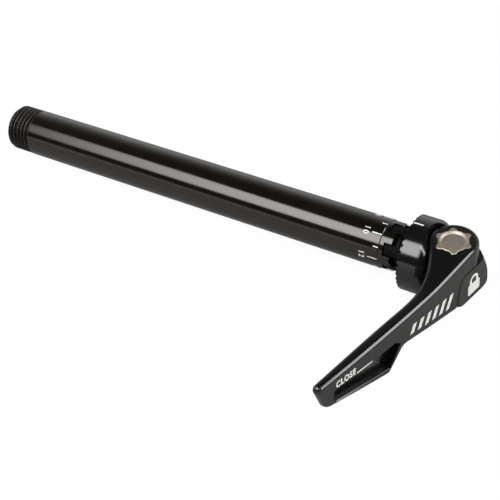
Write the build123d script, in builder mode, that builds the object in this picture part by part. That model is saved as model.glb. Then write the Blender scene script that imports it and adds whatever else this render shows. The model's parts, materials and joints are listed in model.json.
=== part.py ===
"""Front thru axle for a bicycle fork: a hollow 15 mm axle with a quick-release head.

Lengths are in millimetres and angles in degrees. The axle lies along X with its thread at the -X
end, the clamp face of the head is the plane X = 0, and the cam shaft stands along Z. The lever is
drawn closed, pointing to -Y. Opening it lets the head slide off the fork leg, towards +X.
"""

import os
from math import cos, radians, sin, sqrt, tan

from build123d import *

# Axle tube
axle_diameter = 15.0
axle_bore = 11.0
axle_reach = 148.0
thread_diameter = 14.6
thread_length = 9.0
thread_chamfer = 0.7
bulkhead_thickness = 6.0

# Castellated ring, sleeve and return spring between tube and head
neck_length = 7.8
ring_diameter = 14.6
ring_band = 1.2
ring_tooth = 2.8
ring_edge = 0.5
ring_spigot_length = 6.0
ring_spigot_diameter = 12.0
notch_count = 6
notch_width_deg = 32.0
notch_phase_deg = 29.0
spring_pocket_diameter = 12.7
spring_pocket_depth = 3.1
dog_count = 6
dog_width_deg = 27.0
dog_recess = 0.35
guide_diameter = 9.4
guide_length = 9.4
sleeve_diameter = 14.5
sleeve_flange = 1.6
sleeve_seat = 0.4
sleeve_spigot_diameter = 13.2
sleeve_spigot_length = 4.2
spring_wire = 1.0
spring_mean_diameter = 11.0
spring_turns = 2.5

# Draw rod and its adjuster
rod_diameter = 6.0
yoke_wall = 1.2
yoke_height = 4.2
yoke_top = 1.0
yoke_back = 3.2
yoke_corner = 1.5
adjuster_diameter = 10.0
adjuster_length = 8.0
adjuster_socket = 5.0
adjuster_socket_depth = 3.0
adjuster_grip = 4.0
adjuster_washer_thickness = 1.0

# Clamp head
collar_diameter = 22.8
collar_straight = 5.3
collar_shoulder = 3.5
rim_chamfer = 0.15
serration_count = 36
serration_width = 1.0
serration_depth = 0.6
serration_length = 2.2
nose_radius = 9.9
nose_crown_radius = 20.0
nose_widest = -5.0
nose_bottom = -8.5
nose_edge = 1.9
nose_flat_edge = 0.35

# Cam shaft and what carries it
pin_x = 12.8
cam_reach = 4.0
cam_lift = 0.6
cam_back = 2.6
cam_shoulder_deg = 45.0
cam_side_deg = 110.0
cam_back_deg = 170.0
cam_flank_spans = 6
lever_opening_deg = 150.0
upper_journal_diameter = 8.6
lower_journal_diameter = 4.4
bush_wall = 0.9
lower_bush_length = 2.4
star_count = 6
star_phase_deg = -4.8
star_core_radius = 4.6
star_lobe_radius = 1.15
star_lobe_reach = 4.5
star_valley = 0.9
star_edge = 0.25
star_dish_radius = 4.0
star_dish_floor = 3.3
star_dish_depth = 0.5
screw_diameter = 2.5
screw_engagement = 5.0
screw_head_diameter = 4.6
screw_head_height = 1.0
screw_socket = 1.5
screw_socket_depth = 0.7
screw_washer_diameter = 7.0
screw_washer_thickness = 0.5

# Lever, with its blade's outline given as distance from the cam shaft and height
lever_length = 64.0
lever_eye_radius = 7.2
lever_eye_top = 9.5
lever_underside = 3.1
lever_lean_deg = 11.5
lever_bow_radius = 725.0
shoulder_reach = 4.0
shoulder_bend = 45.0
arm_reach = 19.0
arm_top = 7.5
arm_bend = 60.0
arm_thickness = 4.7
root_reach = 8.0
root_bottom = -7.8
root_bend = 20.0
waist_reach = 31.6
waist_bottom = -3.0
waist_thickness = 3.8
waist_bend = 2.0
rail_reach = 37.6
rail_bottom = -9.3
rail_bend = 1.8
tip_top = 6.6
tip_slant = 2.8
tip_bottom = -2.9
tip_thickness = 2.7
tip_corner = 1.5
tip_bend = 3.0
eye_blend_deg = 215.0
web_gap = 1.0
heel_reach = 10.9
heel_deg = 95.0
scoop_tip_reach = 33.3
scoop_tip = -0.7
scoop_top_reach = 35.5
scoop_top = 1.1
scoop_step_reach = 43.3
scoop_end_reach = 58.6
scoop_end_top = 2.0
scoop_depth = 2.0
scoop_corner = 0.6
scoop_ramp_depth = 1.6
scoop_ramp_edge = 0.15
scoop_end_bend = 1.1
rail_width = 2.2
rail_end_width = 1.2
lever_edge = 1.2
rail_chamfer = 0.2
lever_washer_thickness = 0.4
lever_washer_diameter = 13.0

# Clearances
press_clearance = 0.02
running_clearance = 0.05
moving_gap = 0.3

# Places worked out from the sizes above
axle_radius = axle_diameter / 2
rod_radius = rod_diameter / 2
sleeve_radius = sleeve_diameter / 2
collar_radius = collar_diameter / 2
tube_head_x = -neck_length
thread_end_x = -axle_reach
ring_end_x = tube_head_x + ring_band + ring_tooth
notch_floor_x = ring_end_x - ring_tooth
spring_seat_x = ring_end_x - spring_pocket_depth
bulkhead_x = tube_head_x - ring_spigot_length - moving_gap
adjuster_washer_x = bulkhead_x - bulkhead_thickness
adjuster_x = adjuster_washer_x - adjuster_washer_thickness
rod_end_x = adjuster_x - adjuster_grip
yoke_bottom = yoke_top - yoke_height
yoke_half_width = cam_reach + moving_gap
slot_top = yoke_top + moving_gap
slot_bottom = yoke_bottom - moving_gap
head_top = lever_underside - running_clearance - lever_washer_thickness
upper_journal_radius = upper_journal_diameter / 2
lower_journal_radius = lower_journal_diameter / 2
upper_bush_radius = upper_journal_radius + running_clearance + bush_wall
lower_bush_radius = lower_journal_radius + running_clearance + bush_wall
lower_bush_bottom = slot_bottom - lower_bush_length
shaft_bottom = lower_bush_bottom - running_clearance
screw_seat = shaft_bottom - screw_washer_thickness
star_top = lever_eye_top - 2 * running_clearance

axle_line = Axis.X
pin_line = Axis((pin_x, 0, 0), (0, 0, 1))
lever_side = Plane(origin=(pin_x, 0, 0), x_dir=(0, -1, 0), z_dir=(-1, 0, 0))
pin_section = Plane(origin=(pin_x, 0, 0), x_dir=(1, 0, 0), z_dir=(0, -1, 0))
heel_section = Plane(origin=(pin_x, 0, 0), x_dir=(-1, 0, 0), z_dir=(0, 1, 0))

os.makedirs("parts", exist_ok=True)


def on_pin(radius, angle):
    """Point in the XY plane at a radius and an angle about the cam shaft's axis."""
    return (pin_x + radius * cos(radians(angle)), radius * sin(radians(angle)))


def wedge(inner, outer, width_deg):
    """Corners of a sector with straight ends, centred on the first axis of its sketch."""
    slope = tan(radians(width_deg / 2))
    return [
        (inner, -inner * slope),
        (outer, -outer * slope),
        (outer, outer * slope),
        (inner, inner * slope),
    ]


def cam_point(angle):
    """Point of the cam's flank, whose reach grows by cam_lift for each radian of turn."""
    turn = radians(angle)
    reach = cam_reach + cam_lift * turn
    return (
        pin_x + reach * cos(turn) - cam_lift * sin(turn),
        reach * sin(turn) + cam_lift * cos(turn),
    )


def crown_reach(height, gap=0.0):
    """Distance of the nose's rounded crown from the cam shaft's axis, grown by a gap."""
    rise = height - nose_widest
    return nose_radius - nose_crown_radius + sqrt((nose_crown_radius + gap) ** 2 - rise**2)


def outer_face_x(reach):
    """X of the lever's slightly bowed outer face at a distance along -Y."""
    start_x, start_y = on_pin(lever_eye_radius, -lever_lean_deg)
    centre_x = start_x - lever_bow_radius * cos(radians(lever_lean_deg))
    centre_y = start_y + lever_bow_radius * sin(radians(lever_lean_deg))
    return centre_x + sqrt(lever_bow_radius**2 - (reach + centre_y) ** 2)


def face_point(reach, thickness=0.0):
    """Point of the lever's plan at a distance along -Y, a thickness behind its outer face."""
    return (outer_face_x(reach) - thickness, -reach)


def lever_plan():
    """The closed lever seen from above: the round eye and the long blade."""
    with BuildSketch() as plan:
        with BuildLine():
            eye_start = on_pin(lever_eye_radius, -lever_lean_deg)
            eye_end = on_pin(lever_eye_radius, eye_blend_deg)
            tip_inner = face_point(lever_length, tip_thickness)
            ThreePointArc(eye_start, face_point(lever_length / 2), face_point(lever_length))
            Line(face_point(lever_length), tip_inner)
            Spline(
                tip_inner,
                face_point(waist_reach, waist_thickness),
                face_point(arm_reach, arm_thickness),
                eye_end,
                tangents=[
                    Vector(*face_point(waist_reach, waist_thickness)) - Vector(*tip_inner),
                    Vector(sin(radians(eye_blend_deg)), -cos(radians(eye_blend_deg))),
                ],
            )
            ThreePointArc(eye_end, on_pin(lever_eye_radius, 90), eye_start)
        make_face()
    return plan.sketch


def star_outline(growth):
    """Six-lobed outline of the cam shaft's head, grown by a clearance."""
    with BuildSketch() as star:
        with Locations((pin_x, 0)):
            Circle(star_core_radius + growth)
            with PolarLocations(star_lobe_reach, star_count, start_angle=star_phase_deg):
                Circle(star_lobe_radius + growth)
        fillet(star.vertices(), star_valley - growth)
    return star.sketch


# Axle tube: open bore from the thread end, bulkhead for the adjuster, socket for the ring
with BuildPart() as axle_tube:
    with BuildSketch(Plane.XZ):
        with BuildLine():
            thread_radius = thread_diameter / 2
            Polyline(
                (thread_end_x, axle_bore / 2 + thread_chamfer / 2),
                (thread_end_x, thread_radius - thread_chamfer),
                (thread_end_x + thread_chamfer, thread_radius),
                (thread_end_x + thread_length, thread_radius),
                (thread_end_x + thread_length, axle_radius),
                (tube_head_x, axle_radius),
                (tube_head_x, ring_spigot_diameter / 2),
                (bulkhead_x, ring_spigot_diameter / 2),
                (bulkhead_x, rod_radius + moving_gap),
                (adjuster_washer_x, rod_radius + moving_gap),
                (adjuster_washer_x, axle_bore / 2),
                (thread_end_x + thread_chamfer / 2, axle_bore / 2),
                close=True,
            )
        make_face()
    revolve(axis=axle_line)

# Castellated ring, pressed into the head end of the tube
with BuildPart() as index_ring:
    with BuildSketch(Plane.XZ):
        with BuildLine():
            spigot_radius = ring_spigot_diameter / 2 - press_clearance
            guide_bore = guide_diameter / 2 + running_clearance
            Polyline(
                (tube_head_x - ring_spigot_length, guide_bore),
                (tube_head_x - ring_spigot_length, spigot_radius),
                (tube_head_x, spigot_radius),
                (tube_head_x, ring_diameter / 2),
                (ring_end_x - ring_edge, ring_diameter / 2),
                (ring_end_x, ring_diameter / 2 - ring_edge),
                (ring_end_x, spring_pocket_diameter / 2),
                (spring_seat_x, spring_pocket_diameter / 2),
                (spring_seat_x, guide_bore),
                close=True,
            )
        make_face()
    revolve(axis=axle_line)
    with BuildSketch(Plane.YZ.offset(notch_floor_x)):
        with PolarLocations(0, notch_count, start_angle=notch_phase_deg):
            Polygon(*wedge(guide_diameter / 2, axle_diameter, notch_width_deg))
    extrude(amount=2 * ring_tooth, mode=Mode.SUBTRACT)

# Sleeve pressed into the head: it slides in the ring, and its dogs sit in the notches
with BuildPart() as index_sleeve:
    with BuildSketch(Plane.XZ):
        with BuildLine():
            sleeve_bore = rod_radius + running_clearance
            sleeve_spigot = sleeve_spigot_diameter / 2 - press_clearance
            Polyline(
                (-sleeve_flange - guide_length, sleeve_bore),
                (-sleeve_flange - guide_length, guide_diameter / 2),
                (-sleeve_flange, guide_diameter / 2),
                (-sleeve_flange, sleeve_radius),
                (sleeve_seat, sleeve_radius),
                (sleeve_seat, sleeve_spigot),
                (sleeve_spigot_length, sleeve_spigot),
                (sleeve_spigot_length, sleeve_bore),
                close=True,
            )
        make_face()
    revolve(axis=axle_line)
    with BuildSketch(Plane.YZ.offset(notch_floor_x + moving_gap)):
        with PolarLocations(0, dog_count, start_angle=notch_phase_deg):
            Polygon(*wedge(guide_diameter / 4, axle_diameter, dog_width_deg))
        Circle(sleeve_radius - dog_recess, mode=Mode.INTERSECT)
        Circle(spring_pocket_diameter / 2, mode=Mode.SUBTRACT)
    extrude(until=Until.NEXT)

# Return spring round the sleeve, between the ring and the sleeve's flange
with BuildPart() as return_spring:
    spring_end_gap = spring_wire / 2 + running_clearance
    spring_start_x = spring_seat_x + spring_end_gap
    spring_height = -sleeve_flange - spring_end_gap - spring_start_x
    with BuildLine() as coil:
        Helix(
            pitch=spring_height / spring_turns,
            height=spring_height,
            radius=spring_mean_diameter / 2,
            center=(spring_start_x, 0, 0),
            direction=(1, 0, 0),
        )
    with BuildSketch(Plane(origin=coil.line @ 0, x_dir=(1, 0, 0), z_dir=coil.line % 0)):
        Rectangle(spring_wire, spring_wire)
    sweep(path=coil.line, is_frenet=True)

# Draw rod: threaded end in the adjuster, flat yoke round the cam
with BuildPart() as draw_rod:
    with BuildSketch(Plane.YZ.offset(rod_end_x)):
        Circle(rod_radius)
    shank_end = pin_x - yoke_back - yoke_wall / 2
    extrude(amount=shank_end - rod_end_x)
    with BuildSketch(Plane.XY.offset(yoke_top)):
        with Locations(((sleeve_spigot_length + shank_end) / 2, 0)):
            Rectangle(shank_end - sleeve_spigot_length, rod_diameter)
    extrude(amount=rod_diameter, mode=Mode.SUBTRACT)
    with BuildSketch(Plane.XY.offset(yoke_bottom)):
        yoke_front = cam_reach + running_clearance
        with Locations((pin_x + (yoke_front - yoke_back) / 2, 0)):
            RectangleRounded(
                yoke_front + yoke_back + 2 * yoke_wall,
                2 * (yoke_half_width + yoke_wall),
                yoke_corner,
            )
    extrude(amount=yoke_height)
    with BuildSketch(Plane.XY.offset(yoke_bottom)):
        with Locations((pin_x + (yoke_front - yoke_back) / 2, 0)):
            RectangleRounded(yoke_front + yoke_back, 2 * yoke_half_width, yoke_corner / 2)
    extrude(amount=yoke_height, mode=Mode.SUBTRACT)

# Adjuster nut on the end of the rod, turned with a hexagon key through the axle
with BuildPart() as adjuster_nut:
    with BuildSketch(Plane.YZ.offset(adjuster_x - adjuster_length)):
        Circle(adjuster_diameter / 2)
    extrude(amount=adjuster_length)
    chamfer(adjuster_nut.edges().filter_by(GeomType.CIRCLE), thread_chamfer / 2)
    with BuildSketch(Plane.YZ.offset(adjuster_x - adjuster_length)):
        RegularPolygon(adjuster_socket / 2, 6, major_radius=False)
    extrude(amount=adjuster_socket_depth, mode=Mode.SUBTRACT)
    with BuildSketch(Plane.YZ.offset(rod_end_x - moving_gap)):
        Circle(rod_radius + press_clearance)
    extrude(amount=adjuster_length, mode=Mode.SUBTRACT)

with BuildPart() as adjuster_washer:
    with BuildSketch(Plane.YZ.offset(adjuster_x)):
        Circle(adjuster_diameter / 2)
        Circle(rod_radius + moving_gap, mode=Mode.SUBTRACT)
    extrude(amount=adjuster_washer_thickness)

# Clamp head: nose about the cam shaft, with a flat in line with the closed lever's outer face
with BuildPart() as clamp_head:
    with BuildSketch(pin_section) as nose_profile:
        with BuildLine():
            Polyline(
                (nose_radius, nose_widest),
                (nose_radius, nose_bottom),
                (0, nose_bottom),
                (0, head_top),
                (crown_reach(head_top), head_top),
            )
            TangentArc(
                (nose_radius, nose_widest), (crown_reach(head_top), head_top), tangent=(0, 1)
            )
        make_face()
        fillet(nose_profile.vertices().group_by(Axis.Y)[0].sort_by(Axis.X)[-1], nose_edge)
    revolve(axis=pin_line)
    with BuildSketch(Plane.XY.offset(nose_bottom)):
        with Locations(on_pin(lever_eye_radius + collar_radius / 2, -lever_lean_deg)):
            Rectangle(collar_radius, 2 * collar_diameter, rotation=-lever_lean_deg)
    extrude(amount=head_top - nose_bottom, mode=Mode.SUBTRACT)
    fillet(clamp_head.faces().sort_by(Axis.X)[-1].edges().sort_by(Axis.Z)[:-1], nose_flat_edge)
    # Collar with the clamp face
    with BuildSketch(Plane.XZ):
        with BuildLine():
            shoulder_centre = collar_radius - collar_shoulder
            corner = collar_shoulder * sqrt(0.5)
            Polyline(
                (collar_straight + collar_shoulder, shoulder_centre),
                (collar_straight + collar_shoulder, 0),
                (0, 0),
                (0, collar_radius - rim_chamfer),
                (rim_chamfer, collar_radius),
                (collar_straight, collar_radius),
            )
            ThreePointArc(
                (collar_straight, collar_radius),
                (collar_straight + corner, shoulder_centre + corner),
                (collar_straight + collar_shoulder, shoulder_centre),
            )
        make_face()
    revolve(axis=axle_line)
    # Recess that the lever's eye and arm lie in
    with BuildSketch(Plane.XY.offset(head_top)):
        recess_radius = lever_eye_radius + moving_gap
        with Locations((pin_x, 0)):
            Circle(recess_radius)
        Polygon(
            (pin_x, 0),
            on_pin(recess_radius, eye_blend_deg),
            face_point(arm_reach, arm_thickness + moving_gap),
            face_point(arm_reach),
        )
    extrude(amount=collar_diameter, mode=Mode.SUBTRACT)
    # Stepped bore for the sleeve, and the slot that the yoke slides in
    with BuildSketch(Plane.YZ):
        Circle(sleeve_radius + running_clearance)
    extrude(amount=sleeve_seat, mode=Mode.SUBTRACT)
    with BuildSketch(Plane.YZ):
        Circle(sleeve_spigot_diameter / 2)
    extrude(amount=sleeve_spigot_length + moving_gap, mode=Mode.SUBTRACT)
    with BuildSketch(Plane.XY.offset(slot_bottom)):
        slot_end = pin_x + cam_reach + running_clearance + yoke_wall + moving_gap
        slot_width = 2 * (yoke_half_width + yoke_wall + moving_gap)
        with Locations(((sleeve_spigot_length + slot_end) / 2, 0)):
            RectangleRounded(slot_end - sleeve_spigot_length, slot_width, yoke_corner)
    extrude(amount=slot_top - slot_bottom, mode=Mode.SUBTRACT)
    # Seats of the two bushes, and the counterbore for the retaining screw
    with Locations((pin_x, 0, head_top)):
        Hole(upper_bush_radius + press_clearance, depth=head_top - slot_top)
    with Locations((pin_x, 0, slot_bottom)):
        Hole(lower_bush_radius + press_clearance, depth=slot_bottom - nose_bottom)
    with BuildSketch(Plane.XY.offset(nose_bottom)):
        with Locations((pin_x, 0)):
            Circle(screw_washer_diameter / 2 + moving_gap)
    extrude(amount=lower_bush_bottom - nose_bottom, mode=Mode.SUBTRACT)
    # Serrations round the rim of the clamp face
    with BuildSketch(Plane.YZ):
        with PolarLocations(collar_radius, serration_count):
            Rectangle(2 * serration_length, serration_width)
    extrude(amount=serration_depth, mode=Mode.SUBTRACT)

with BuildPart() as upper_bush:
    with BuildSketch(Plane.XY.offset(slot_top)):
        with Locations((pin_x, 0)):
            Circle(upper_bush_radius)
            Circle(upper_journal_radius + running_clearance, mode=Mode.SUBTRACT)
    extrude(amount=head_top - slot_top)

with BuildPart() as lower_bush:
    with BuildSketch(Plane.XY.offset(lower_bush_bottom)):
        with Locations((pin_x, 0)):
            Circle(lower_bush_radius)
            Circle(lower_journal_radius + running_clearance, mode=Mode.SUBTRACT)
    extrude(amount=lower_bush_length)

with BuildPart() as lever_washer:
    with BuildSketch(Plane.XY.offset(head_top)):
        with Locations((pin_x, 0)):
            Circle(lever_washer_diameter / 2)
            Circle(upper_journal_radius + running_clearance, mode=Mode.SUBTRACT)
    extrude(amount=lever_washer_thickness)

# Cam shaft: six-lobed head in the lever, two journals, and the cam between them
with BuildPart() as cam_shaft:
    with BuildSketch(Plane.XY.offset(lever_underside)):
        add(star_outline(0))
    extrude(amount=star_top - lever_underside)
    chamfer(cam_shaft.faces().sort_by(Axis.Z)[-1].edges(), star_edge)
    with BuildSketch(Plane.XY.offset(slot_top)):
        with Locations((pin_x, 0)):
            Circle(upper_journal_radius)
    extrude(amount=lever_underside - slot_top)
    with BuildSketch(Plane.XY.offset(slot_bottom)):
        with BuildLine():
            flank_span = lever_opening_deg / cam_flank_spans
            flank = Spline(*[cam_point(-flank_span * step) for step in range(cam_flank_spans + 1)])
            Spline(
                flank @ 0,
                on_pin(cam_reach, cam_shoulder_deg),
                on_pin((cam_reach + cam_back) / 2, cam_side_deg),
                on_pin(cam_back, cam_back_deg),
                flank @ 1,
                tangents=[flank % 0 * -1, flank % 1 * -1],
            )
        make_face()
    extrude(amount=slot_top - slot_bottom)
    with BuildSketch(Plane.XY.offset(shaft_bottom)):
        with Locations((pin_x, 0)):
            Circle(lower_journal_radius)
    extrude(amount=slot_bottom - shaft_bottom)
    with BuildSketch(pin_section):
        Polygon(
            (0, star_top + star_dish_depth),
            (0, star_top - star_dish_depth),
            (star_dish_floor, star_top - star_dish_depth),
            (star_dish_radius, star_top),
            (star_dish_radius, star_top + star_dish_depth),
        )
    revolve(axis=pin_line, mode=Mode.SUBTRACT)
    with BuildSketch(Plane.XY.offset(shaft_bottom)):
        with Locations((pin_x, 0)):
            Circle(screw_diameter / 2 + press_clearance)
    extrude(amount=screw_engagement + moving_gap, mode=Mode.SUBTRACT)

with BuildPart() as retaining_washer:
    with BuildSketch(Plane.XY.offset(screw_seat)):
        with Locations((pin_x, 0)):
            Circle(screw_washer_diameter / 2)
            Circle(screw_diameter / 2 + running_clearance, mode=Mode.SUBTRACT)
    extrude(amount=screw_washer_thickness)

with BuildPart() as retaining_screw:
    with BuildSketch(Plane.XY.offset(screw_seat - screw_head_height)):
        with Locations((pin_x, 0)):
            Circle(screw_head_diameter / 2)
    extrude(amount=screw_head_height)
    with BuildSketch(Plane.XY.offset(screw_seat)):
        with Locations((pin_x, 0)):
            Circle(screw_diameter / 2)
    extrude(amount=screw_washer_thickness + screw_engagement)
    with BuildSketch(Plane.XY.offset(screw_seat - screw_head_height)):
        with Locations((pin_x, 0)):
            RegularPolygon(screw_socket / 2, 6, major_radius=False)
    extrude(amount=screw_socket_depth, mode=Mode.SUBTRACT)

# Finger scoop: a deep pocket by the waist and a ramp that runs out towards the tip
scoop_start = Vector(*face_point(waist_reach))
scoop_along = Vector(*face_point(lever_length)) - scoop_start
scoop_stretch = scoop_along.length / (lever_length - waist_reach)
scoop_plane = Plane(
    origin=(scoop_start.X, scoop_start.Y, 0),
    x_dir=scoop_along,
    z_dir=scoop_along.cross(Vector(0, 0, 1)),
)


def scoop_point(reach, height):
    """Point of the lever's outer face in the scoop's own plane."""
    return ((reach - waist_reach) * scoop_stretch, height)


rail_slope = (rail_bottom - tip_bottom) / (rail_reach - lever_length + tip_slant)
scoop_low = rail_bottom + rail_width
scoop_low_end = rail_bottom + rail_slope * (scoop_end_reach - rail_reach) + rail_end_width

with BuildPart() as scoop_ramp:
    ramp_sections = [
        (rail_reach, scoop_top, scoop_low),
        (scoop_end_reach, scoop_end_top, scoop_low_end),
    ]
    for reach, top, low in ramp_sections:
        ramp_plane = Plane(
            origin=scoop_plane.from_local_coords(scoop_point(reach, 0)),
            x_dir=-scoop_plane.z_dir,
            z_dir=scoop_plane.x_dir,
        )
        with BuildSketch(ramp_plane):
            Polygon(
                (scoop_depth, low - rail_chamfer - scoop_depth),
                (-rail_chamfer, low),
                (-scoop_ramp_depth, low),
                (-scoop_ramp_edge, top),
                (scoop_depth, top),
            )
    loft(ruled=True)
    ramp_end = scoop_ramp.faces().sort_by(Axis.Y)[0]
    fillet(ramp_end.edges().sort_by(Axis.X)[:-2], scoop_end_bend)

# Lever: plan and side outlines intersected, then the eye, the web's end and the scoop are cut
with BuildPart() as lever:
    with BuildSketch():
        add(lever_plan())
    extrude(amount=collar_diameter, both=True)
    with BuildSketch(lever_side):
        with BuildLine():
            outline = FilletPolyline(
                (-collar_radius, lever_eye_top),
                (shoulder_reach, lever_eye_top),
                (arm_reach, arm_top),
                (lever_length, tip_top),
                (lever_length - tip_slant, tip_bottom),
                (rail_reach, rail_bottom),
                (waist_reach, waist_bottom),
                (root_reach, root_bottom),
                (-collar_radius, root_bottom),
                radius=[shoulder_bend, arm_bend, tip_corner, tip_bend, rail_bend, waist_bend, root_bend],
            )
            Line(outline @ 1, outline @ 0)
        make_face()
    extrude(amount=2 * collar_diameter, both=True, mode=Mode.INTERSECT)
    fillet(lever.edges().filter_by(Axis.X, reverse=True).filter_by(Axis.Z, reverse=True), lever_edge)
    with BuildSketch(pin_section):
        with BuildLine():
            web_top = crown_reach(lever_underside, web_gap)
            Polyline(
                (nose_radius + web_gap, nose_widest),
                (nose_radius + web_gap, -collar_radius),
                (0, -collar_radius),
                (0, lever_underside),
                (web_top, lever_underside),
            )
            TangentArc((nose_radius + web_gap, nose_widest), (web_top, lever_underside), tangent=(0, 1))
        make_face()
    revolve(axis=pin_line, mode=Mode.SUBTRACT)
    with BuildSketch(heel_section):
        with Locations((heel_reach / 2, (lever_underside - collar_radius) / 2)):
            Rectangle(heel_reach, lever_underside + collar_radius)
    revolve(axis=pin_line, revolution_arc=heel_deg, mode=Mode.SUBTRACT)
    with BuildSketch(Plane.XY.offset(lever_underside)):
        add(star_outline(running_clearance))
    extrude(amount=lever_eye_top, mode=Mode.SUBTRACT)
    with BuildSketch(scoop_plane) as scoop_pocket:
        Polygon(
            scoop_point(scoop_tip_reach, scoop_tip),
            scoop_point(scoop_top_reach, scoop_top),
            scoop_point(scoop_step_reach, scoop_top),
            scoop_point(rail_reach, scoop_low),
        )
        fillet(scoop_pocket.vertices().sort_by(Axis.X)[:2], scoop_corner)
    extrude(amount=scoop_depth, both=True, mode=Mode.SUBTRACT)
    add(scoop_ramp.part, mode=Mode.SUBTRACT)

subparts = {
    "axle_tube": axle_tube,
    "index_ring": index_ring,
    "index_sleeve": index_sleeve,
    "return_spring": return_spring,
    "draw_rod": draw_rod,
    "adjuster_nut": adjuster_nut,
    "adjuster_washer": adjuster_washer,
    "clamp_head": clamp_head,
    "upper_bush": upper_bush,
    "lower_bush": lower_bush,
    "lever_washer": lever_washer,
    "cam_shaft": cam_shaft,
    "retaining_washer": retaining_washer,
    "retaining_screw": retaining_screw,
    "lever": lever,
}
for name, subpart in subparts.items():
    subpart.part.label = name
    export_step(subpart.part, f"parts/{name}.step")
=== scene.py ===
"""Looks of a quick-release thru axle: finishes, thread, printed marks, studio and camera.

Lengths are in metres, in the part's own frame: +X along the axle towards the head, +Z along the cam
shaft, and the closed lever pointing to -Y. Angles round the axle are counted from +Y towards +Z, the
lamps' azimuths from +Y towards +X, and the camera's azimuth from -Y towards +X.
"""

import json
from math import cos, pi, radians, sin, tau

import bmesh
import bpy
from mathutils import Matrix, Quaternion, Vector
from mathutils.bvhtree import BVHTree


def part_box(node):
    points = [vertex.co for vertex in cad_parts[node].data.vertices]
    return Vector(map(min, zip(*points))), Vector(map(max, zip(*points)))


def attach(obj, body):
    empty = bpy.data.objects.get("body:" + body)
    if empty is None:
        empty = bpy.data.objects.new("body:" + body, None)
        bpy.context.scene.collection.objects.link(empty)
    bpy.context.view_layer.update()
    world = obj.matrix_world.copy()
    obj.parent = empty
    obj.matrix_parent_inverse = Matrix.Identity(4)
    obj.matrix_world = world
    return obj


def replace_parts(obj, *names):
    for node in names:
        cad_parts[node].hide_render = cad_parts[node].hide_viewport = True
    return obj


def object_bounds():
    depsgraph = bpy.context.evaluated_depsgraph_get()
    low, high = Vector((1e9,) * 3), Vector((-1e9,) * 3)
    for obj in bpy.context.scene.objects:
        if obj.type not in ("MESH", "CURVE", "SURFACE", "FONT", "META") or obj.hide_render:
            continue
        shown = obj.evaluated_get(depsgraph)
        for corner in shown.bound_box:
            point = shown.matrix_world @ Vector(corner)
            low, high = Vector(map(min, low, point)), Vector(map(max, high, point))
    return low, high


MM = 0.001

# Camera at the photograph's viewing angle
CAMERA_AZIMUTH = radians(36.562)
CAMERA_ELEVATION = radians(42.422)
CAMERA_ROLL = radians(-7.749)
CAMERA_DISTANCE = 0.39151
CAMERA_AIM = Vector((-0.05201, -0.00855, -0.01272))
CAMERA_LENS_MM = 90.32
CAMERA_CLIP_START = 0.01

# Axle tube, as in the solid model, with its thread cut
TUBE_SEGMENTS = 128
TUBE_BORE_RADIUS = 5.5 * MM
TUBE_SOCKET_RADIUS = 6.0 * MM
TUBE_SOCKET_DEPTH = 6.3 * MM
TUBE_WEB_RADIUS = 3.3 * MM
TUBE_WEB_THICKNESS = 6.0 * MM
TUBE_HEAD_EDGE = 0.22 * MM
THREAD_LENGTH = 9.0 * MM
THREAD_PITCH = 1.5 * MM
THREAD_CREST_RADIUS = 7.42 * MM
THREAD_DEPTH = 0.85 * MM
THREAD_CHAMFER = 0.75 * MM
THREAD_RUNOUT = 1.0 * MM
THREAD_SHOULDER = 0.12 * MM
THREAD_CREST_SHARE = 0.2
THREAD_FLANK_SHARE = 0.55
THREAD_ROWS_PER_PITCH = 20
SHARP_EDGE = radians(30)

# Finishes: scales of the noises that vary tone and gloss, and strengths of the shine
NOISE_DETAIL = 4
NOISE_LOW = 0.3
NOISE_HIGH = 0.7
ANODISED_TONE_SCALE = 90
ANODISED_GLOSS_SCALE = 220
ANODISED_IOR = 1.7
METAL_TONE_SCALE = 260
METAL_GLOSS_SCALE = 500
COAT_TONE_SCALE = 700
COAT_GLOSS_SCALE = 900
CUT_ROUGHNESS = 0.3
SPECULAR_LEVEL = 0.5
CUT_SPECULAR_LOSS = 0.17
LEVER_SPECULAR_LEVEL = 0.4
BEARING_SPECULAR_LEVEL = 0.1
TUBE_SPECULAR_TINT = (1, 0.95, 0.9, 1)
WHITE = (1, 1, 1, 1)

# Printed marks, placed on the lever and the nose by their reach towards -Y and their Z
INK_THICKNESS = 0.025 * MM
INK_SINK = 0.03 * MM
INK_STRIP = 0.3 * MM
LETTER_RESOLUTION = 6
LETTER_MERGE = 1e-5
RAY_CLEARANCE = 1.0
DIAL_POSITIONS = 12
DIAL_LAST_ANGLE = radians(178.6)
DIAL_LONG_TICK = 3.1 * MM
DIAL_SHORT_TICK = 1.7 * MM
DIAL_TICK_WIDTH = 0.33 * MM
DIAL_TICK_GAP = 0.15 * MM
NUMERAL_HEIGHT = 1.8 * MM
NUMERAL_WIDTH = 2.3 * MM
NUMERAL_CENTRE = 5.1 * MM
NUMERAL_BOLD = 0.015
NUMERAL_SPACING = 1.2
POINTER_ANGLE = radians(89)
POINTER_START = 0.5 * MM
POINTER_LENGTH = 3.0 * MM
POINTER_WIDTH = 0.46 * MM
WORD_REACH = 54.05 * MM
WORD_Z = 3.3 * MM
WORD_HEIGHT = 2.35 * MM
WORD_WIDTH = 7.1 * MM
WORD_BOLD = 0.042
WORD_SPACING = 1.12
WORD_TILT = radians(-3)
RULE_START = (50.15 * MM, 1.9 * MM)
RULE_END = (44.4 * MM, 1.62 * MM)
RULE_WIDTH = 0.42 * MM
STRIPE_COUNT = 6
STRIPE_START = (12.6 * MM, -1.6 * MM)
STRIPE_STEP = (3.1 * MM, 0.45 * MM)
STRIPE_WIDTH = 1.5 * MM
STRIPE_HEIGHT = 4.6 * MM
STRIPE_TAPER = 0.92
STRIPE_SLANT = 0.45
LOCK_REACH = 1.4 * MM
LOCK_Z = -4.6 * MM
LOCK_BODY = (5.4 * MM, 3.9 * MM)
LOCK_CORNER = 0.7 * MM
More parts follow.
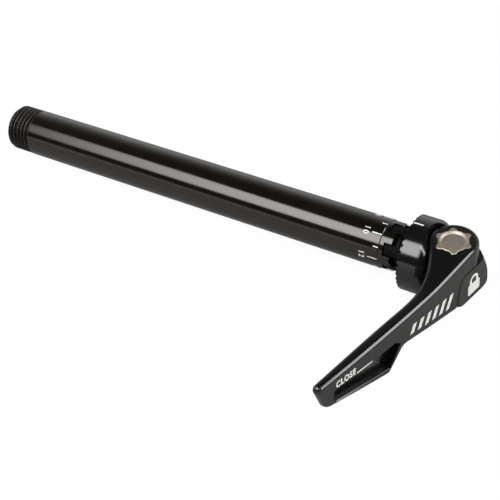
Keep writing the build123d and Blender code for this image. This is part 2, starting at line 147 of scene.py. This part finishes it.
LOCK_SHACKLE_RADIUS = 1.9 * MM
LOCK_SHACKLE_WIDTH = 0.85 * MM
LOCK_SHACKLE_LEG = 1.1 * MM
LOCK_ARC_STEPS = 20

# Studio
FLOOR_HALF_WIDTH = 1.5
FLOOR_COLOUR = (0.38, 0.37, 0.36, 1)
FLOOR_WHITE_SHARE = 0.96
FLOOR_NEAR = 0.15
FLOOR_FAR = 0.6
RESTING_TRIES = 6
WORLD_FILL = 0.2
WORLD_WHITE = 0.95
WORLD_DARK = 0.05
SWEEP_TURN = (-0.35, 0.25)
SWEEP_FRONT = (radians(2), radians(10))
SWEEP_BACK = (radians(8), radians(62))
KEY_CENTRE = Vector((-0.188, -0.318, 0.422))
KEY_LONG = Vector((0.965, -0.157, 0.209))
KEY_SHORT = Vector((0.0, 0.8, 0.6))
KEY_SIZE = (0.684, 0.4)
KEY_RADIANCE = 5.8
KEY_FADE_POWERS = {"X": 2.0, "Y": 8.0}
SIDE_AIM = Vector((0.015, -0.03, 0.0))
SIDE_AZIMUTH = radians(71)
SIDE_ELEVATION = radians(25)
SIDE_ROLL = radians(-22)
SIDE_DISTANCE = 0.6
SIDE_SIZE = (0.23, 0.61)
SIDE_RADIANCE = 6.8
STRIP_AIM = Vector((0.007, -0.007, 0.009))
STRIP_AZIMUTH = radians(141.7)
STRIP_ELEVATION = radians(53.2)
STRIP_ROLL = radians(-44.7)
STRIP_DISTANCE = 0.6
STRIP_SIZE = (0.77, 0.07)
STRIP_RADIANCE = 6.5


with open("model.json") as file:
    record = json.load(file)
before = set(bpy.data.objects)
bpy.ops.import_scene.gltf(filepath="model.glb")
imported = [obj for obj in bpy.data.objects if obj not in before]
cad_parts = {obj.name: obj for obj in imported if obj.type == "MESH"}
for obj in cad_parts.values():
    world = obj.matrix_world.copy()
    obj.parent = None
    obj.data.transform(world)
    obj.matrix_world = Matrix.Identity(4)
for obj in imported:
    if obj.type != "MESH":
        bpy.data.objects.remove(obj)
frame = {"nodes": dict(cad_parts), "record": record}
cad_low, cad_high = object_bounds()
scene = bpy.context.scene

tube_low, tube_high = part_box("axle_tube")
_, head_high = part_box("clamp_head")
TUBE_RADIUS = tube_high.z
COLLAR_RADIUS = head_high.y


# Materials
def shader_of(material):
    """The Principled shader of a material."""
    return material.node_tree.nodes["Principled BSDF"]


def new_material(name):
    """A new node material, with its nodes, its links and its Principled shader."""
    material = bpy.data.materials.new(name)
    material.use_nodes = True
    return material, material.node_tree.nodes, material.node_tree.links, shader_of(material)


def add_math(nodes, links, operation, *values):
    """A math node fed by sockets or plain numbers."""
    node = nodes.new("ShaderNodeMath")
    node.operation = operation
    for socket, value in zip(node.inputs, values):
        if isinstance(value, (int, float)):
            socket.default_value = value
        else:
            links.new(value, socket)
    return node.outputs["Value"]


def noise_between(nodes, links, scale, low, high):
    """A noise in the part's own space that runs from low to high."""
    place = nodes.new("ShaderNodeTexCoord")
    noise = nodes.new("ShaderNodeTexNoise")
    noise.inputs["Scale"].default_value = scale
    noise.inputs["Detail"].default_value = NOISE_DETAIL
    spread = nodes.new("ShaderNodeMapRange")
    spread.inputs["From Min"].default_value = NOISE_LOW
    spread.inputs["From Max"].default_value = NOISE_HIGH
    spread.inputs["To Min"].default_value = low
    spread.inputs["To Max"].default_value = high
    links.new(place.outputs["Object"], noise.inputs["Vector"])
    links.new(noise.outputs["Fac"], spread.inputs["Value"])
    return spread.outputs["Result"]


def add_grain(nodes, links, shader, scale, height):
    """Fine surface grain as bump, by the scale of its noise and its height."""
    bump = nodes.new("ShaderNodeBump")
    bump.inputs["Strength"].default_value = 1.0
    bump.inputs["Distance"].default_value = height
    links.new(noise_between(nodes, links, scale, 0, 1), bump.inputs["Height"])
    links.new(bump.outputs["Normal"], shader.inputs["Normal"])


def two_tone(nodes, links, shader, scale, dark, light):
    """Slight change of colour over the surface, between a dark and a light tone."""
    tone = nodes.new("ShaderNodeMix")
    tone.data_type = "RGBA"
    tone.inputs["A"].default_value = (*dark, 1)
    tone.inputs["B"].default_value = (*light, 1)
    links.new(noise_between(nodes, links, scale, 0, 1), tone.inputs["Factor"])
    links.new(tone.outputs["Result"], shader.inputs["Base Color"])


def anodised(name, dark, light, roughness, grain, dull_below=None):
    """Dyed black oxide on aluminium: a dark body under an even gloss, duller below a place along X."""
    material, nodes, links, shader = new_material(name)
    two_tone(nodes, links, shader, ANODISED_TONE_SCALE, dark, light)
    gloss = noise_between(nodes, links, ANODISED_GLOSS_SCALE, *roughness)
    if dull_below is not None:
        place = nodes.new("ShaderNodeTexCoord")
        parts = nodes.new("ShaderNodeSeparateXYZ")
        links.new(place.outputs["Object"], parts.inputs["Vector"])
        cut = add_math(nodes, links, "LESS_THAN", parts.outputs["X"], dull_below)
        gloss = add_math(nodes, links, "MULTIPLY_ADD", cut, CUT_ROUGHNESS, gloss)
        level = add_math(nodes, links, "MULTIPLY_ADD", cut, -CUT_SPECULAR_LOSS, SPECULAR_LEVEL)
        links.new(level, shader.inputs["Specular IOR Level"])
    links.new(gloss, shader.inputs["Roughness"])
    add_grain(nodes, links, shader, *grain)
    shader.inputs["IOR"].default_value = ANODISED_IOR
    return material


def bare_metal(name, dark, light, roughness, grain):
    """Plain, plated or oxidised steel."""
    material, nodes, links, shader = new_material(name)
    two_tone(nodes, links, shader, METAL_TONE_SCALE, dark, light)
    links.new(noise_between(nodes, links, METAL_GLOSS_SCALE, *roughness), shader.inputs["Roughness"])
    add_grain(nodes, links, shader, *grain)
    shader.inputs["Metallic"].default_value = 1.0
    return material


def plain_coat(name, dark, light, roughness, grain):
    """Ink or moulded plastic."""
    material, nodes, links, shader = new_material(name)
    two_tone(nodes, links, shader, COAT_TONE_SCALE, dark, light)
    links.new(noise_between(nodes, links, COAT_GLOSS_SCALE, *roughness), shader.inputs["Roughness"])
    add_grain(nodes, links, shader, *grain)
    return material


tube_black = anodised(
    "tube_black",
    dark=(0.0028, 0.0024, 0.0021),
    light=(0.0041, 0.0035, 0.003),
    roughness=(0.1, 0.15),
    grain=(2500, 0.4e-6),
    dull_below=tube_low.x + THREAD_LENGTH,
)
head_black = anodised(
    "head_black",
    dark=(0.003, 0.003, 0.0028),
    light=(0.0045, 0.0045, 0.0042),
    roughness=(0.1, 0.15),
    grain=(2500, 0.4e-6),
)
lever_black = anodised(
    "lever_black",
    dark=(0.003, 0.003, 0.0029),
    light=(0.0045, 0.0045, 0.0043),
    roughness=(0.11, 0.17),
    grain=(3500, 0.3e-6),
)
cam_steel = bare_metal(
    "cam_steel",
    dark=(0.43, 0.39, 0.325),
    light=(0.53, 0.48, 0.4),
    roughness=(0.47, 0.57),
    grain=(2600, 0.8e-6),
)
plated_steel = bare_metal(
    "plated_steel",
    dark=(0.5, 0.5, 0.52),
    light=(0.62, 0.62, 0.64),
    roughness=(0.25, 0.38),
    grain=(1500, 1.0e-6),
)
spring_steel = bare_metal(
    "spring_steel",
    dark=(0.008, 0.008, 0.008),
    light=(0.013, 0.013, 0.013),
    roughness=(0.5, 0.6),
    grain=(1500, 1.0e-6),
)
bearing_plastic = plain_coat(
    "bearing_plastic",
    dark=(0.002, 0.002, 0.002),
    light=(0.0035, 0.0035, 0.0035),
    roughness=(0.6, 0.7),
    grain=(2000, 1.0e-6),
)
print_white = plain_coat(
    "print_white",
    dark=(0.74, 0.74, 0.72),
    light=(0.84, 0.84, 0.82),
    roughness=(0.4, 0.5),
    grain=(4000, 0.5e-6),
)
shader_of(tube_black).inputs["Specular Tint"].default_value = TUBE_SPECULAR_TINT
shader_of(lever_black).inputs["Specular IOR Level"].default_value = LEVER_SPECULAR_LEVEL
shader_of(bearing_plastic).inputs["Specular IOR Level"].default_value = BEARING_SPECULAR_LEVEL

FINISHES = {
    "tube_black": tube_black,
    "head_black": head_black,
    "lever_black": lever_black,
    "cam_steel": cam_steel,
    "plated_steel": plated_steel,
    "spring_steel": spring_steel,
    "bearing_plastic": bearing_plastic,
}
for subpart in frame["record"]["subparts"]:
    materials = frame["nodes"][subpart["node"]].data.materials
    materials.clear()
    materials.append(FINISHES[subpart["material_slot"]])


# Meshes
def new_piece(name, mesh_data, material, body):
    """A finished mesh as a piece that rides on a body."""
    mesh = bpy.data.meshes.new(name)
    mesh_data.to_mesh(mesh)
    mesh_data.free()
    mesh.materials.append(material)
    piece = bpy.data.objects.new(name, mesh)
    scene.collection.objects.link(piece)
    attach(piece, body)
    return piece


def thread_radius(x, angle):
    """Radius of the threaded stretch, with flat crests and roots and sloping flanks."""
    from_end = x - tube_low.x
    turn = (from_end / THREAD_PITCH - angle / tau) % 1.0
    slope = (abs(2 * turn - 1) - THREAD_CREST_SHARE) / THREAD_FLANK_SHARE
    slope = min(max(slope, 0.0), 1.0)
    fade = min((THREAD_LENGTH - from_end) / THREAD_RUNOUT, 1.0)
    cut = THREAD_CREST_RADIUS - THREAD_DEPTH * slope * max(fade, 0.0)
    return min(cut, THREAD_CREST_RADIUS - THREAD_CHAMFER + from_end)


def tube_rows():
    """Closed section of the tube from its bore round its outside, as (x, radius or None for the thread)."""
    end, head = tube_low.x, tube_high.x
    socket = head - TUBE_SOCKET_DEPTH
    seat = socket - TUBE_WEB_THICKNESS
    rows = [
        (head, TUBE_SOCKET_RADIUS),
        (socket, TUBE_SOCKET_RADIUS),
        (socket, TUBE_WEB_RADIUS),
        (seat, TUBE_WEB_RADIUS),
        (seat, TUBE_BORE_RADIUS),
        (end + THREAD_CHAMFER / 2, TUBE_BORE_RADIUS),
        (end, TUBE_BORE_RADIUS + THREAD_CHAMFER / 2),
    ]
    steps = round(THREAD_LENGTH / THREAD_PITCH * THREAD_ROWS_PER_PITCH)
    rows += [(end + THREAD_LENGTH * step / steps, None) for step in range(steps + 1)]
    rows += [
        (end + THREAD_LENGTH + THREAD_SHOULDER, TUBE_RADIUS),
        (head - TUBE_HEAD_EDGE, TUBE_RADIUS),
        (head, TUBE_RADIUS - TUBE_HEAD_EDGE),
    ]
    return rows


def threaded_tube():
    """The axle tube with a real helical thread."""
    tube = bmesh.new()
    rings = []
    for x, radius in tube_rows():
        ring = []
        for step in range(TUBE_SEGMENTS):
            angle = tau * step / TUBE_SEGMENTS
            r = thread_radius(x, angle) if radius is None else radius
            ring.append(tube.verts.new((x, r * cos(angle), r * sin(angle))))
        rings.append(ring)
    for near, far in zip(rings, rings[1:] + rings[:1]):
        for a, b, c, d in zip(near, near[1:] + near[:1], far[1:] + far[:1], far):
            tube.faces.new((a, b, c, d))
    bmesh.ops.recalc_face_normals(tube, faces=tube.faces)
    for face in tube.faces:
        face.smooth = True
    for edge in tube.edges:
        edge.smooth = edge.calc_face_angle(0) < SHARP_EDGE
    return new_piece("threaded_tube", tube, tube_black, "axle")


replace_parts(threaded_tube(), "axle_tube")


# Printed marks: flat outlines laid on the surfaces as thin layers of ink
def outline(points):
    """A flat outline."""
    flat = bmesh.new()
    flat.faces.new([flat.verts.new((u, v, 0)) for u, v in points])
    return flat


def bar(width, height, slant=0.0):
    """A flat upright bar about its middle, leaning by slant."""
    u, v, lean = width / 2, height / 2, slant * height / 2
    return outline([(-u - lean, -v), (u - lean, -v), (u + lean, v), (-u + lean, v)])


def rule(start, end, width):
    """A flat stroke between two places of the lever's face, about their middle."""
    half = (start[0] - end[0]) / 2
    rise = (end[1] - start[1]) / 2
    v = width / 2
    return outline([(-half, -rise - v), (half, rise - v), (half, rise + v), (-half, -rise + v)])


def arc(centre_u, centre_v, radius, start, end):
    """Points of a flat arc between two angles."""
    turns = [start + (end - start) * step / LOCK_ARC_STEPS for step in range(LOCK_ARC_STEPS + 1)]
    return [(centre_u + radius * cos(turn), centre_v + radius * sin(turn)) for turn in turns]


def lock_body():
    """The rounded body of a plain padlock sign, about its middle."""
    u, v = LOCK_BODY[0] / 2 - LOCK_CORNER, LOCK_BODY[1] / 2 - LOCK_CORNER
    corners = [(u, v), (-u, v), (-u, -v), (u, -v)]
    points = []
    for quarter, (centre_u, centre_v) in enumerate(corners):
        points += arc(centre_u, centre_v, LOCK_CORNER, quarter * pi / 2, (quarter + 1) * pi / 2)
    return outline(points)


def lock_shackle():
    """The shackle of the padlock sign, with the middle of the body as its origin."""
    foot = LOCK_BODY[1] / 2
    top = foot + LOCK_SHACKLE_LEG
    outer, inner = LOCK_SHACKLE_RADIUS, LOCK_SHACKLE_RADIUS - LOCK_SHACKLE_WIDTH
    points = [(-inner, foot), (-outer, foot)]
    points += arc(0, top, outer, pi, 0) + [(outer, foot), (inner, foot)] + arc(0, top, inner, 0, pi)
    return outline(points)


def lettering(word, height, width, bold, spacing):
    """Flat letters about their middle, fitted to a height and at most a width."""
    curve = bpy.data.curves.new("lettering", "FONT")
    curve.body = word
    curve.size = 1.0
    curve.offset = bold
    curve.space_character = spacing
    curve.align_x = "CENTER"
    curve.resolution_u = LETTER_RESOLUTION
    holder = bpy.data.objects.new("lettering", curve)
    scene.collection.objects.link(holder)
    depsgraph = bpy.context.evaluated_depsgraph_get()
    mesh = bpy.data.meshes.new_from_object(holder.evaluated_get(depsgraph))
    bpy.data.objects.remove(holder)
    bpy.data.curves.remove(curve)
    flat = bmesh.new()
    flat.from_mesh(mesh)
    bpy.data.meshes.remove(mesh)
    bmesh.ops.remove_doubles(flat, verts=flat.verts, dist=LETTER_MERGE)
    us = [v.co.x for v in flat.verts]
    vs = [v.co.y for v in flat.verts]
    scale_v = height / (max(vs) - min(vs))
    scale_u = min(scale_v, width / (max(us) - min(us)))
    for vert in flat.verts:
        u = (vert.co.x - (min(us) + max(us)) / 2) * scale_u
        vert.co = Vector((u, (vert.co.y - (min(vs) + max(vs)) / 2) * scale_v, 0))
    return flat


def printed(name, flat, place, body):
    """Lays a flat outline on a surface by place(u, v, height), as a closed layer of ink."""
    across = [v.co.x for v in flat.verts]
    strips = int((max(across) - min(across)) / INK_STRIP)
    for strip in range(1, strips + 1):
        cut = min(across) + strip * INK_STRIP
        geometry = flat.verts[:] + flat.edges[:] + flat.faces[:]
        bmesh.ops.bisect_plane(flat, geom=geometry, plane_co=(cut, 0, 0), plane_no=(1, 0, 0))
    bmesh.ops.triangulate(flat, faces=flat.faces)
    bmesh.ops.recalc_face_normals(flat, faces=flat.faces)
    grown = bmesh.ops.extrude_face_region(flat, geom=flat.faces[:])
    tops = {v for v in grown["geom"] if isinstance(v, bmesh.types.BMVert)}
    for vert in flat.verts:
        height = INK_THICKNESS if vert in tops else -INK_SINK
        vert.co = place(vert.co.x, vert.co.y, height)
    bmesh.ops.recalc_face_normals(flat, faces=flat.faces)
    new_piece(name, flat, print_white, body)


def round_the_axle(radius, angle, x):
    """Places flat marks on a cylinder about the axle: u runs round it and v along +X."""
    def place(u, v, height):
        at = angle + u / radius
        r = radius + height
        return Vector((x + v, r * cos(at), r * sin(at)))
    return place


def on_outer_face(node, reach, z, tilt=0.0):
    """Places flat marks on a node's +X side: u runs to +Y and v upwards."""
    mesh = frame["nodes"][node].data
    surface = BVHTree.FromPolygons([v.co for v in mesh.vertices], [p.vertices for p in mesh.polygons])

    def place(u, v, height):
        y = -reach + u * cos(tilt) - v * sin(tilt)
        up = z + u * sin(tilt) + v * cos(tilt)
        start = Vector((cad_high.x + RAY_CLEARANCE, y, up))
        hit, normal, _, _ = surface.ray_cast(start, Vector((-1, 0, 0)))
        return hit + normal * height
    return place


def print_dial():
    """Twelve ticks round the tube, with a number at every other one, and the collar's pointer."""
    for position in range(1, DIAL_POSITIONS + 1):
        angle = DIAL_LAST_ANGLE + (position - DIAL_POSITIONS) * tau / DIAL_POSITIONS
        numbered = position % 2 == 0
        length = DIAL_LONG_TICK if numbered else DIAL_SHORT_TICK
        middle = tube_high.x - DIAL_TICK_GAP - length / 2
        tick = bar(DIAL_TICK_WIDTH, length)
        printed(f"dial_tick_{position}", tick, round_the_axle(TUBE_RADIUS, angle, middle), "axle")
        if numbered:
            numeral = lettering(str(position), NUMERAL_HEIGHT, NUMERAL_WIDTH, NUMERAL_BOLD, NUMERAL_SPACING)
            place = round_the_axle(TUBE_RADIUS, angle, tube_high.x - NUMERAL_CENTRE)
            printed(f"dial_number_{position}", numeral, place, "axle")
    pointer_middle = POINTER_START + POINTER_LENGTH / 2
    printed(
        "collar_pointer",
        bar(POINTER_WIDTH, POINTER_LENGTH),
        round_the_axle(COLLAR_RADIUS, POINTER_ANGLE, pointer_middle),
        "head",
    )


def print_lever():
    """The word and its rule by the lever's tip, and plain slanted stripes along its arm."""
    word = lettering("CLOSE", WORD_HEIGHT, WORD_WIDTH, WORD_BOLD, WORD_SPACING)
    printed("lever_word", word, on_outer_face("lever", WORD_REACH, WORD_Z, WORD_TILT), "lever")
    middle = [(a + b) / 2 for a, b in zip(RULE_START, RULE_END)]
    stroke = rule(RULE_START, RULE_END, RULE_WIDTH)
    printed("lever_rule", stroke, on_outer_face("lever", *middle), "lever")
    for number in range(STRIPE_COUNT):
        reach, z = (a + number * b for a, b in zip(STRIPE_START, STRIPE_STEP))
        stripe = bar(STRIPE_WIDTH, STRIPE_HEIGHT * STRIPE_TAPER**number, STRIPE_SLANT)
        printed(f"lever_stripe_{number + 1}", stripe, on_outer_face("lever", reach, z), "lever")


def print_nose():
    """A plain padlock sign on the flat of the nose."""
    place = on_outer_face("clamp_head", LOCK_REACH, LOCK_Z)
    printed("nose_lock_body", lock_body(), place, "head")
    printed("nose_lock_shackle", lock_shackle(), place, "head")


print_dial()
print_lever()
print_nose()


# Studio
def floor_material():
    """Pale floor, white to the camera but for a faint shadow, and white to mirrors at a distance."""
    material, nodes, links, shader = new_material("floor")
    shader.inputs["Roughness"].default_value = 1.0
    shader.inputs["Specular IOR Level"].default_value = 0.0
    ray = nodes.new("ShaderNodeLightPath")
    paper = nodes.new("ShaderNodeMix")
    paper.data_type = "RGBA"
    paper.inputs["A"].default_value = FLOOR_COLOUR
    paper.inputs["B"].default_value = WHITE
    links.new(ray.outputs["Is Camera Ray"], paper.inputs["Factor"])
    links.new(paper.outputs["Result"], shader.inputs["Base Color"])
    place = nodes.new("ShaderNodeTexCoord")
    distance = nodes.new("ShaderNodeVectorMath")
    distance.operation = "LENGTH"
    links.new(place.outputs["Object"], distance.inputs[0])
    far = nodes.new("ShaderNodeMapRange")
    far.interpolation_type = "SMOOTHSTEP"
    far.inputs["From Min"].default_value = FLOOR_NEAR
    far.inputs["From Max"].default_value = FLOOR_FAR
    links.new(distance.outputs["Value"], far.inputs["Value"])
    by_camera, through = ray.outputs["Is Camera Ray"], ray.outputs["Is Transmission Ray"]
    seen = add_math(nodes, links, "MAXIMUM", by_camera, through)
    mirrored = add_math(nodes, links, "MULTIPLY", ray.outputs["Is Glossy Ray"], far.outputs["Result"])
    share = add_math(nodes, links, "MULTIPLY_ADD", seen, FLOOR_WHITE_SHARE, mirrored)
    white = nodes.new("ShaderNodeEmission")
    mix = nodes.new("ShaderNodeMixShader")
    links.new(share, mix.inputs["Fac"])
    links.new(shader.outputs["BSDF"], mix.inputs[1])
    links.new(white.outputs["Emission"], mix.inputs[2])
    links.new(mix.outputs["Shader"], nodes["Material Output"].inputs["Surface"])
    return material


def resting_plane():
    """Point and normal of the plane that the collar, the tube and the lever lie on."""
    normal = Vector((0, 0, 1))
    for _ in range(RESTING_TRIES):
        lowest = []
        for node in ("clamp_head", "axle_tube", "lever"):
            points = [v.co for v in frame["nodes"][node].data.vertices]
            lowest.append(min(points, key=normal.dot))
        normal = (lowest[1] - lowest[0]).cross(lowest[2] - lowest[0]).normalized()
        if normal.z < 0:
            normal = -normal
    return lowest[0].copy(), normal


def lay_floor():
    """The floor under the resting part."""
    point, normal = resting_plane()
    floor = bmesh.new()
    half = FLOOR_HALF_WIDTH
    corners = [(-half, -half), (half, -half), (half, half), (-half, half)]
    floor.faces.new([floor.verts.new((u, v, 0)) for u, v in corners])
    mesh = bpy.data.meshes.new("floor")
    floor.to_mesh(mesh)
    floor.free()
    mesh.materials.append(floor_material())
    piece = bpy.data.objects.new("floor", mesh)
    scene.collection.objects.link(piece)
    piece.rotation_mode = "QUATERNION"
    piece.rotation_quaternion = Vector((0, 0, 1)).rotation_difference(normal)
    under = Vector(((cad_low.x + cad_high.x) / 2, 0, 0))
    piece.location = under - normal * normal.dot(under - point)


def softbox(name, size, radiance):
    """A soft rectangular lamp of an even radiance, not placed yet."""
    light = bpy.data.lights.new(name, "AREA")
    light.shape = "RECTANGLE"
    light.size, light.size_y = size
    light.energy = radiance * pi * size[0] * size[1]
    lamp = bpy.data.objects.new(name, light)
    scene.collection.objects.link(lamp)
    return lamp


def softbox_towards(name, size, radiance, aim, azimuth, elevation, distance, roll):
    """A softbox that faces a point, placed by its direction from there and rolled about it."""
    toward = Vector((sin(azimuth) * cos(elevation), cos(azimuth) * cos(elevation), sin(elevation)))
    lamp = softbox(name, size, radiance)
    lamp.location = aim + toward * distance
    lamp.rotation_mode = "QUATERNION"
    lamp.rotation_quaternion = Quaternion(toward, roll) @ toward.to_track_quat("Z", "Y")


def key_softbox():
    """The long softbox beside the axle, brightest in its middle and fading out to its edges."""
    lamp = softbox("key_softbox", KEY_SIZE, KEY_RADIANCE)
    along = KEY_LONG.normalized()
    away = along.cross(KEY_SHORT).normalized()
    turn = Matrix((along, away.cross(along), away)).transposed().to_4x4()
    lamp.matrix_world = Matrix.Translation(KEY_CENTRE) @ turn
    lamp.data.use_nodes = True
    nodes, links = lamp.data.node_tree.nodes, lamp.data.node_tree.links
    place = nodes.new("ShaderNodeNewGeometry")
    parts = nodes.new("ShaderNodeSeparateXYZ")
    links.new(place.outputs["Parametric"], parts.inputs["Vector"])
    humps = []
    for axis, power in KEY_FADE_POWERS.items():
        signed = add_math(nodes, links, "MULTIPLY_ADD", parts.outputs[axis], 2.0, -1.0)
        off_middle = add_math(nodes, links, "ABSOLUTE", signed)
        fade = add_math(nodes, links, "POWER", off_middle, power)
        humps.append(add_math(nodes, links, "SUBTRACT", 1.0, fade))
    links.new(add_math(nodes, links, "MULTIPLY", *humps), nodes["Emission"].inputs["Strength"])


def studio_world():
    """White to the camera. Mirror-like surfaces see a white sweep behind that darkens overhead."""
    world = bpy.data.worlds.new("studio")
    scene.world = world
    world.use_nodes = True
    nodes, links = world.node_tree.nodes, world.node_tree.links
    fill = nodes["Background"]
    fill.inputs["Color"].default_value = WHITE
    fill.inputs["Strength"].default_value = WORLD_FILL
    direction = nodes.new("ShaderNodeTexCoord")
    parts = nodes.new("ShaderNodeSeparateXYZ")
    links.new(direction.outputs["Generated"], parts.inputs["Vector"])

    def fall(start, end):
        step = nodes.new("ShaderNodeMapRange")
        step.interpolation_type = "SMOOTHSTEP"
        step.inputs["From Min"].default_value = sin(start)
        step.inputs["From Max"].default_value = sin(end)
        step.inputs["To Min"].default_value = WORLD_WHITE
        step.inputs["To Max"].default_value = WORLD_DARK
        links.new(parts.outputs["Z"], step.inputs["Value"])
        return step.outputs["Result"]

    behind = nodes.new("ShaderNodeMapRange")
    behind.interpolation_type = "SMOOTHSTEP"
    behind.inputs["From Min"].default_value, behind.inputs["From Max"].default_value = SWEEP_TURN
    links.new(parts.outputs["Y"], behind.inputs["Value"])
    sweep = nodes.new("ShaderNodeMix")
    links.new(behind.outputs["Result"], sweep.inputs["Factor"])
    links.new(fall(*SWEEP_FRONT), sweep.inputs["A"])
    links.new(fall(*SWEEP_BACK), sweep.inputs["B"])
    mirrored = nodes.new("ShaderNodeBackground")
    links.new(sweep.outputs["Result"], mirrored.inputs["Strength"])
    white = nodes.new("ShaderNodeBackground")
    ray = nodes.new("ShaderNodeLightPath")
    by_gloss = nodes.new("ShaderNodeMixShader")
    links.new(ray.outputs["Is Glossy Ray"], by_gloss.inputs["Fac"])
    links.new(fill.outputs["Background"], by_gloss.inputs[1])
    links.new(mirrored.outputs["Background"], by_gloss.inputs[2])
    by_camera = nodes.new("ShaderNodeMixShader")
    links.new(ray.outputs["Is Camera Ray"], by_camera.inputs["Fac"])
    links.new(by_gloss.outputs["Shader"], by_camera.inputs[1])
    links.new(white.outputs["Background"], by_camera.inputs[2])
    links.new(by_camera.outputs["Shader"], nodes["World Output"].inputs["Surface"])


def place_camera():
    """The camera of the photograph: direction, roll and distance from the point it looks at."""
    az, el, roll = CAMERA_AZIMUTH, CAMERA_ELEVATION, CAMERA_ROLL
    back = Vector((sin(az) * cos(el), -cos(az) * cos(el), sin(el)))
    level = Vector((cos(az), sin(az), 0))
    upright = back.cross(level)
    right = level * cos(roll) + upright * sin(roll)
    up = back.cross(right)
    camera = bpy.data.objects.new("camera", bpy.data.cameras.new("camera"))
    camera.data.lens = CAMERA_LENS_MM
    camera.data.clip_start = CAMERA_CLIP_START
    scene.collection.objects.link(camera)
    turn = Matrix((right, up, back)).transposed().to_4x4()
    camera.matrix_world = Matrix.Translation(CAMERA_AIM + back * CAMERA_DISTANCE) @ turn
    scene.camera = camera


lay_floor()
studio_world()
key_softbox()
softbox_towards(
    "side_softbox",
    SIDE_SIZE,
    SIDE_RADIANCE,
    SIDE_AIM,
    SIDE_AZIMUTH,
    SIDE_ELEVATION,
    SIDE_DISTANCE,
    SIDE_ROLL,
)
softbox_towards(
    "strip_softbox",
    STRIP_SIZE,
    STRIP_RADIANCE,
    STRIP_AIM,
    STRIP_AZIMUTH,
    STRIP_ELEVATION,
    STRIP_DISTANCE,
    STRIP_ROLL,
)
place_camera()
scene.view_settings.view_transform = "Standard"
